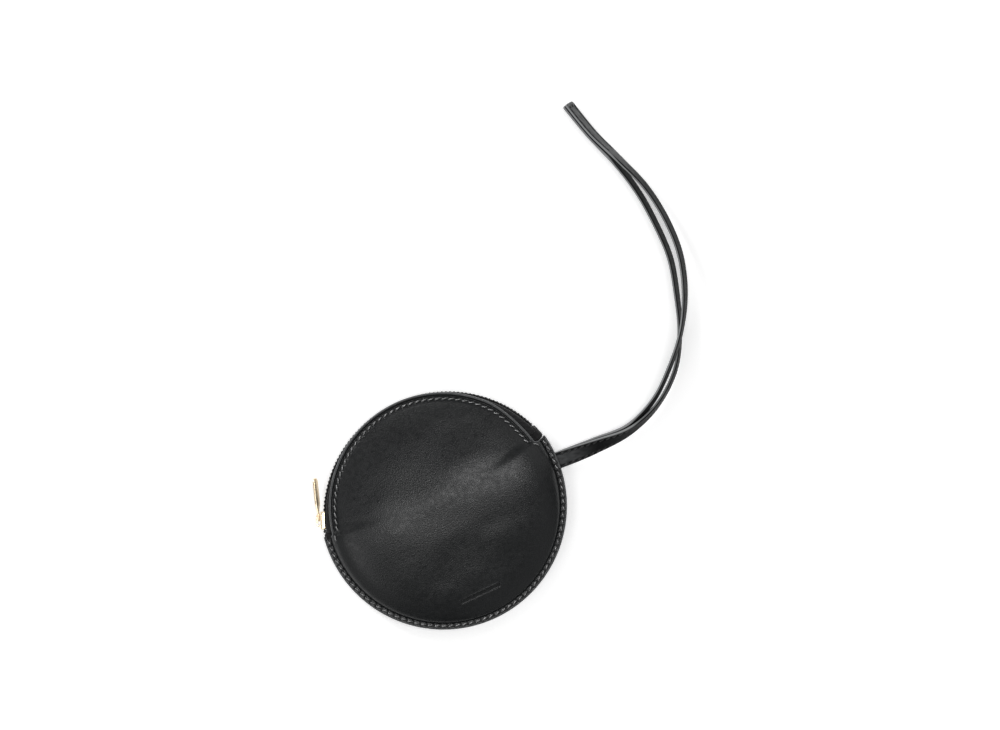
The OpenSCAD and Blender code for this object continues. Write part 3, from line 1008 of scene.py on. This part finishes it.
def add_lining(name, sign, height, cad_nodes, bend=None):
    """A cloth lining a hair's breadth inside a panel."""
    near = LEATHER_T + 0.1

    def outer(x, y):
        return height(x, y) - sign * near

    def inner(x, y):
        return height(x, y) - sign * (near + LINING_T)

    sides = (outer, inner) if sign > 0 else (inner, outer)
    part = panel_part(LINING_LINE, *sides, coarse_spacing, coarse_spacing, painted=0.0)
    settle(add_object(name, part, LINING), "lining", *cad_nodes, bend=bend)


add_front_panel()
add_back_panel()
add_lining("front_lining.cloth", 1, front_smooth, ("front_lining", "front_lining_mouth"), PANEL_BEND_M)
add_lining("back_lining.cloth", -1, back_smooth, ("back_lining",))


# ---- stitches of the panels


def surface_normal(height, x, y, sign):
    step = 0.4
    gx = (height(x + step, y) - height(x - step, y)) / (2 * step)
    gy = (height(x, y + step) - height(x, y - step)) / (2 * step)
    return unit(columns(-gx, -gy, 1.0)) * sign


def round_row(radius, angles, height, sign):
    """Places of a round row of stitches on one side of a panel."""
    ray = radial_at(angles)
    in_by = drawn_in(ray[:, 0], ray[:, 1]) * (radius == MOUTH_STITCH_R)
    x, y = (radius - in_by) * ray[:, 0], (radius - in_by) * ray[:, 1]
    ups = surface_normal(height, x, y, sign)
    along = np.cross(UP, ray)
    along = unit(along - ups * np.sum(along * ups, axis=-1, keepdims=True))
    return list(zip(columns(x, y, height(x, y)), along, ups))


def notch_stitches():
    """One stitch each side that leads from the sewn row up into the mouth's row."""
    places = []
    for side in (1, -1):
        x, y = np.array([side * 53.6]), np.array([8.2])
        up = surface_normal(front_smooth, x, y, 1)[0]
        run = np.array([side * 0.6, -0.8, 0])
        run = unit(run - up * run.dot(up))
        places.append((np.array([x[0], y[0], front_smooth(x, y)[0] + 0.15]), run, up))
    return places


def add_panel_stitches():
    seam = round_row(SEAM_STITCH_R, SEAM_ANGLES, front_smooth, 1)
    seam += round_row(SEAM_STITCH_R, SEAM_ANGLES, back_smooth, -1)
    settle(add_stitches("seam.stitches", seam + notch_stitches()), "thread", "seam_thread")
    front = round_row(MOUTH_STITCH_R, MOUTH_ANGLES, front_smooth, 1)
    piece = add_stitches("front_zip.stitches", front)
    settle(piece, "thread", "front_zip_thread", "front_zip_thread_mouth", bend=PANEL_BEND_M)
    back = round_row(MOUTH_STITCH_R, MOUTH_ANGLES, back_smooth, -1)
    settle(add_stitches("back_zip.stitches", back), "thread", "back_zip_thread")


add_panel_stitches()


# ---- zip


def zip_reach(a, r):
    """Distance from the panels' centre to the zip circle of radius r at angle a."""
    drop = -ZIP_CENTRE[1]
    return -drop * np.sin(a) + np.sqrt(r * r - (drop * np.cos(a)) ** 2)


def rounded_line(corners, radius, steps=5):
    """An open line with its inner corners rounded by short curves."""
    corners = [np.asarray(c, float) for c in corners]
    found = [corners[0]]
    for before, here, after in zip(corners, corners[1:], corners[2:]):
        back = before - here
        on = after - here
        cut_back = min(radius, np.linalg.norm(back) * 0.49)
        cut_on = min(radius, np.linalg.norm(on) * 0.49)
        p = here + unit(back) * cut_back
        q = here + unit(on) * cut_on
        for k in range(steps + 1):
            t = k / steps
            found.append((1 - t) ** 2 * p + 2 * t * (1 - t) * here + t * t * q)
    found.append(corners[-1])
    return np.array(found)


def tape_part(side):
    """One half of the tape: sewn flat under its panel, out to the chain, then up to it."""
    ends = zip_point(np.array(TAPE_ARC), TAPE_MID_R, 0)
    angles = np.linspace(*np.arctan2(ends[:, 1], ends[:, 0]), 260)
    under = LEATHER_T + 0.15 + TAPE_T / 2
    rings = []
    grain = []
    for a in angles:
        ca, sa = math.cos(a), math.sin(a)
        reach = zip_reach(a, TAPE_MID_R)
        turn = min(TAPE_TURN_R, reach - 0.6)
        inner = np.array([TAPE_IN_R, (TAPE_IN_R + turn) / 2, turn])
        seat = front_smooth if side > 0 else back_smooth
        seats = seat(inner * ca, inner * sa) - side * under
        corners = [*zip(inner, seats), (reach, ZIP_Z + side * TAPE_SHELF), (reach, ZIP_Z + side * 0.4)]
        line = rounded_line(corners, 1.1)
        run = unit(np.gradient(line, axis=0))
        normal = columns(-run[:, 1], run[:, 0]) * TAPE_T / 2
        r, z = np.concatenate([line + normal, (line - normal)[::-1]]).T
        length = lengths_along(line)
        rings.append(columns(r * ca, r * sa, z))
        grain.append(columns(a * ZIP_R, np.concatenate([length, length[::-1]]), 0.0))
    faces = tube_faces(len(angles), len(rings[0]))
    return as_part(np.concatenate(rings), faces, np.concatenate(grain))


def coil_part(side):
    """One half of the chain: a nylon wire wound into loops, whose heads meet the other's."""
    turns = int(math.radians(COIL_ARC[1] - COIL_ARC[0]) * ZIP_R / COIL_PITCH)
    s = np.linspace(0, turns * COIL_PITCH, turns * 18 + 1)
    phase = 2 * math.pi * s / COIL_PITCH + (0 if side > 0 else math.pi)
    angle = COIL_ARC[1] - np.degrees(s / ZIP_R)
    out = ZIP_R + 0.42 * np.cos(phase) + COIL_SHIFT * side
    centres = zip_point(angle, out, side * (0.9 - 0.9 * np.sin(phase)))
    run = unit(np.gradient(centres, axis=0))
    first = unit(np.cross(run, np.cross(radial_at(angle), run)))
    points, faces = sweep(centres, first, np.cross(run, first), circle(WIRE_R, 7))
    return as_part(points, faces, wound_grain(s * 3, np.arange(7)))


def core_part(side):
    """The cord inside the loops, and the sewing that holds the loops to the tape."""
    angle = np.linspace(COIL_ARC[0] + 0.2, COIL_ARC[1] - 0.2, 220)
    centres = zip_point(angle, ZIP_R + COIL_SHIFT * side, side * 0.95)
    section = circle(1.0, 8) * np.array([0.34, 0.62])
    points, faces = sweep(centres, radial_at(angle), np.tile(UP, (len(angle), 1)), section)
    return as_part(points, [f[::-1] for f in faces], wound_grain(angle, np.arange(8) * 0.4))


def add_zip_half(side, word, tape_nodes, coil_nodes, bend=None):
    tape = add_object(f"{word}_zip.tape", tape_part(side), TAPE)
    coil = add_object(f"{word}_zip.coil", coil_part(side), NYLON)
    core = add_object(f"{word}_zip.core", core_part(side), TAPE)
    settle(tape, "zip_tape", *tape_nodes, bend=bend)
    settle(coil, "zip_coil", *coil_nodes, bend=bend)
    settle(core, "zip_tape", bend=bend)


FRONT_TAPE = ("front_zip_tape", "front_zip_tape_mouth")
FRONT_COIL = ("front_zip_coil", "front_zip_coil_mouth")
add_zip_half(1, "front", FRONT_TAPE, FRONT_COIL, ZIP_BEND_M)
add_zip_half(-1, "back", ("back_zip_tape",), ("back_zip_coil",))


def zip_block(node, cloth, arc, radii, heights, rounding, soft=0.0):
    """A rounded block on the zip circle: a nylon stop, or a folded end of tape, which is
    dented by up to about soft."""
    steps = max(8, int((arc[1] - arc[0]) * 6))
    angle = np.linspace(arc[0], arc[1], steps)
    a, b = (radii[1] - radii[0]) / 2, (heights[1] - heights[0]) / 2
    round_share = 2 * rounding / (math.radians(arc[1] - arc[0]) * ZIP_R)
    end = np.clip(np.abs(np.linspace(-1, 1, steps)) - (1 - round_share), 0, 1)
    end = end / max(end.max(), 1e-6)
    shrink = 1 - (1 - np.sqrt(np.clip(1 - end**2, 0, 1))) * rounding / min(a, b) * 0.9
    section = rounded_rect(a, b, rounding, 5)
    centres = zip_point(angle, (radii[0] + radii[1]) / 2, (heights[0] + heights[1]) / 2)
    sections = section * shrink[:, None, None]
    points, faces = sweep(centres, radial_at(angle), np.tile(UP, (steps, 1)), sections)
    if soft:
        dents = np.array([noise.noise(Vector(p / 1.7)) for p in points])
        points = points + UP * soft * dents[:, None]
    grain = wound_grain(np.radians(angle) * ZIP_R, np.linspace(0, 4 * (a + b), len(section)))
    kind, material, slot = ("tape", TAPE, "zip_tape") if cloth else ("nylon", NYLON, "zip_coil")
    part = as_part(points, [f[::-1] for f in faces], grain)
    settle(add_object(f"{node}.{kind}", part, material, 55), slot, node)


zip_block("zip_end_left", True, (162.7, 166.2), (54.0, 60.5), (-2.7, 2.7), 1.1, 0.3)
zip_block("zip_end_right", True, (14.9, 22.4), (52.2, 60.7), (-2.75, 2.6), 1.7, 0.35)
zip_block("top_stop_front", False, (161.5, 162.7), (59.0, 60.8), (0.35, 2.3), 0.35)
zip_block("top_stop_back", False, (161.5, 162.7), (59.0, 60.8), (-2.3, -0.35), 0.35)
zip_block("bottom_stop", False, (19.6, 21.6), (59.0, 60.8), (-2.3, 2.3), 0.35)


# ---- slider and puller


def arc_solid(section, arc, bevel):
    """A (radius, height) section turned along a stretch of the zip circle, its edges eased."""
    radius, height = np.array(section).T
    angles = np.linspace(arc[0], arc[1], 14)
    points = np.concatenate([zip_point(a, radius, height) for a in angles])
    return as_part(*bevel_sharp(points, tube_faces(len(angles), len(section)), bevel))


def add_slider_body():
    """A channel that is open towards the purse, a plate inside, and the fin that parts the coils."""
    first, last = SLIDER_ANGLE - SLIDER_ARC / 2, SLIDER_ANGLE + SLIDER_ARC / 2
    outer = [
        (61.8, -2.6), (61.8, 2.6), (61.4, 3.0), (59.6, 3.0), (59.6, 2.4), (60.9, 2.4),
        (60.9, -2.4), (59.6, -2.4), (59.6, -3.0), (61.4, -3.0),
    ]
    inner = [(57.25, -2.3), (58.15, -2.3), (58.15, 2.3), (57.25, 2.3)]
    fin = [(57.7, -0.2), (61.35, -0.2), (61.35, 0.2), (57.7, 0.2)]
    parts = [
        arc_solid(outer, (first, last), 0.22),
        arc_solid(inner, (first + 0.3, last - 0.3), 0.22),
        arc_solid(fin, (last - 1.3, last - 0.1), 0.05),
    ]
    piece = add_object("slider_body.gold", join_parts(parts), GOLD, 40)
    settle(piece, "gold_metal", "slider_body", body="slider")


# At the puller's pin: along the chain towards the middle of the mouth, and outwards
PIN_ALONG = radial_at(SLIDER_ANGLE - 90)
PIN_OUT = np.cross(UP, PIN_ALONG)
PULLER_ALONG = PIN_ALONG * math.cos(PULLER_LEAN) + PIN_OUT * math.sin(PULLER_LEAN)
PULLER_OUT = np.cross(UP, PULLER_ALONG)


def add_bail():
    """An arch from one end of the slider to the other."""
    half, top, low = 2.6, 1.05, -0.95
    flat = rounded_line([(-half, low), (-half, top), (half, top), (half, low)], 0.95, 8)
    path = PIN + flat[:, :1] * PIN_ALONG + flat[:, 1:] * PIN_OUT
    points, faces = sweep(path, *flat_frames(path), rounded_rect(0.4, 0.6, 0.22))
    piece = add_object("slider_bail.gold", as_part(points, faces), GOLD, 50)
    settle(piece, "gold_metal", "slider_bail", body="slider")


def blade_part():
    """A flat bar with a narrow neck and a round tip, twisted a little about its length."""
    half = PULLER_W / 2
    shoulder = PULLER_L - half
    tip = shoulder + half * np.sin(np.linspace(0.08, 1, 12) * math.pi / 2)
    xs = np.concatenate([np.linspace(BLADE_START, shoulder, 22), tip])
    into = np.clip((xs - shoulder) / half, 0, 0.9995)
    neck = BLADE_NECK + (half - BLADE_NECK) * smooth((xs - BLADE_START) / 4.5)
    half_w = np.minimum(half * np.sqrt(1 - into**2), neck)
    half_t = PULLER_T / 2 * (1 - 0.35 * into**8)
    half_t = half_t * (0.75 + 0.25 * smooth((xs - BLADE_START) / 1.2))
    twist = (BLADE_TWIST * smooth((xs - BLADE_START) / 5))[:, None]
    wide = np.cos(twist) * UP + np.sin(twist) * PULLER_OUT
    sections = np.array([rounded_rect(w, t, 0.32) for w, t in zip(half_w, half_t)])
    centres = PIN + xs[:, None] * PULLER_ALONG
    points, faces = sweep(centres, wide, np.cross(PULLER_ALONG, wide), sections)
    grain = columns(xs[:, None], sections[..., 0], sections[..., 1]).reshape(-1, 3)
    return as_part(points, faces, grain)


def ring_part():
    """The loop at the puller's end that goes through the bail."""
    near, far, half = 0, 4.3, 1.35
    middle = (2.2, -half)
    corners = [middle, (near, -half), (near, half), (far, half), (far, -half), middle]
    flat = rounded_line(corners, 0.75, 6)[:-1]
    path = PIN + flat[:, :1] * PULLER_ALONG + flat[:, 1:] * UP
    run = unit(np.roll(path, -1, axis=0) - np.roll(path, 1, axis=0))
    first = np.tile(PULLER_OUT, (len(path), 1))
    return as_part(*sweep(path, first, np.cross(run, first), circle(0.45, 12), closed=True))


def add_puller():
    piece = add_object("puller.gold", join_parts([blade_part(), ring_part()]), GOLD, 50)
    settle(piece, "gold_metal", "puller", body="puller")


add_slider_body()
add_bail()
add_puller()


# ---- floor and light


def add_floor():
    """A plain pale sheet just under the purse, a little self-lit."""
    size = 3.0
    corners = [(-size, -size, 0), (size, -size, 0), (size, size, 0), (-size, size, 0)]
    mesh = bpy.data.meshes.new("floor")
    mesh.from_pydata(corners, [], [[0, 1, 2, 3]])
    look = Look("floor")
    look.fill(look.shader, {
        "Base Color": (0.95, 0.95, 0.95, 1),
        "Roughness": 0.9,
        "Specular IOR Level": 0.1,
        "Emission Color": (1, 1, 1, 1),
        "Emission Strength": 0.33,
    })
    mesh.materials.append(look.material)
    floor = new_object("floor", mesh)
    floor.location = (0, 0, -0.0003)


# In the view: to the right and upwards; and where the softboxes aim
VIEW_RIGHT = radial_at(math.degrees(VIEW_TURN))
VIEW_UP = np.cross(UP, VIEW_RIGHT)
LIGHT_AIM = UP * 6

# Softboxes: name, mm to the right of, above and over the purse in the view, side, watts
SOFTBOXES = (
    ("top_left", -1500, 1300, 1300, 2200, 12),
    ("top_right", 1500, 1300, 1300, 2200, 12),
    ("low_left", -1500, -1300, 1300, 2200, 7),
    ("left", -800, -560, 1450, 700, 3.5),
    ("low_right", 1500, -1300, 1300, 2200, 6),
    ("glint", -1200, 1200, 850, 420, 10),
)


def add_light(name, place, turn, width, depth, power):
    data = bpy.data.lights.new(name, "AREA")
    data.shape = "RECTANGLE"
    data.size = width * MM
    data.size_y = depth * MM
    data.energy = power
    light = new_object(name, data)
    light.location = Vector(place) * MM
    light.rotation_euler = turn


def add_softbox(name, right, up, over, side, power):
    place = LIGHT_AIM + VIEW_RIGHT * right + VIEW_UP * up + UP * over
    turn = Vector(LIGHT_AIM - place).to_track_quat("-Z", "Y").to_euler()
    add_light(name, place, turn, side, side, power)


def add_world():
    world = bpy.data.worlds.new("studio")
    world.use_nodes = True
    background = world.node_tree.nodes["Background"]
    background.inputs["Color"].default_value = (1, 1, 1, 1)
    background.inputs["Strength"].default_value = 0.12
    bpy.context.scene.world = world


add_floor()
add_world()
for row in SOFTBOXES:
    add_softbox(*row)
# A long strip straight above the strap's side, which lights the ridge of the leather
add_light("ridge", (220, 0, 1700), (0, 0, 0), 900, 300, 9.0)
bpy.context.scene.view_settings.view_transform = "Standard"
